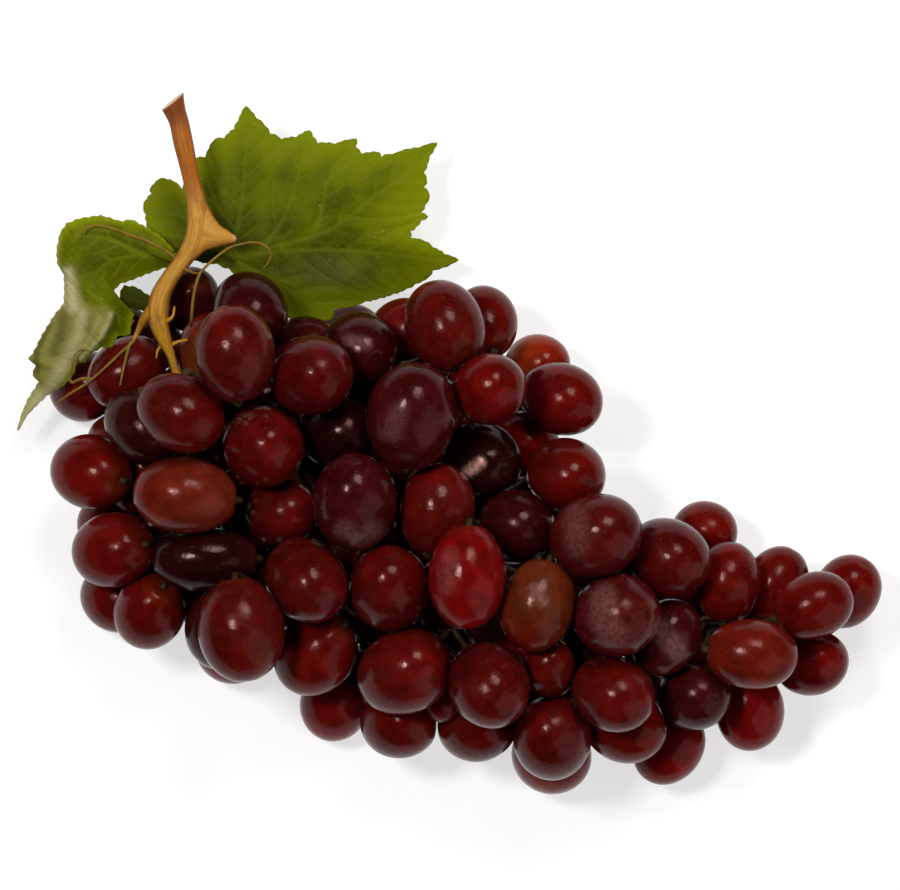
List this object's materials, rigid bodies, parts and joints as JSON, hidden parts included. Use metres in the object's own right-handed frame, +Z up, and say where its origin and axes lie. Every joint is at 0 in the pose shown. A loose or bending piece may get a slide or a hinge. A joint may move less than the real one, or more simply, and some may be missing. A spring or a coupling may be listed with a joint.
{
  "type": "bunch of grapes",
  "caption": "Bunch of red table grapes lying on its side, with the cut end of its woody stalk, two toothed leaves and curling tendrils.",
  "frame": {"origin": "middle of the bunch's box, on the surface it lies on", "axes": "+X from the shoulder with the leaves to the tapering tail, +Y to the cut end of the stalk, +Z up off the surface"},
  "size_m": [0.2079, 0.1677, 0.0667],
  "materials": {
    "stem": "dry green-brown bark, matt",
    "leaf": "satin upper side with sunken veins, pale matt underside",
    "berry": "translucent dark red skin, glossy under a thin waxy bloom"
  },
  "bodies": {
    "root": {"stem": "stem", "leaf_large": "leaf", "leaf_left": "leaf", "berries_left_tip": "berry", "berries_left_side": "berry", "berries_left_foot": "berry", "berries_crown": "berry", "berries_upper_left": "berry", "berries_upper_right": "berry", "berries_heart": "berry", "berries_lower_left": "berry", "berries_right": "berry", "berries_lower_right": "berry", "berries_tail": "berry"}
  },
  "joints": []
}
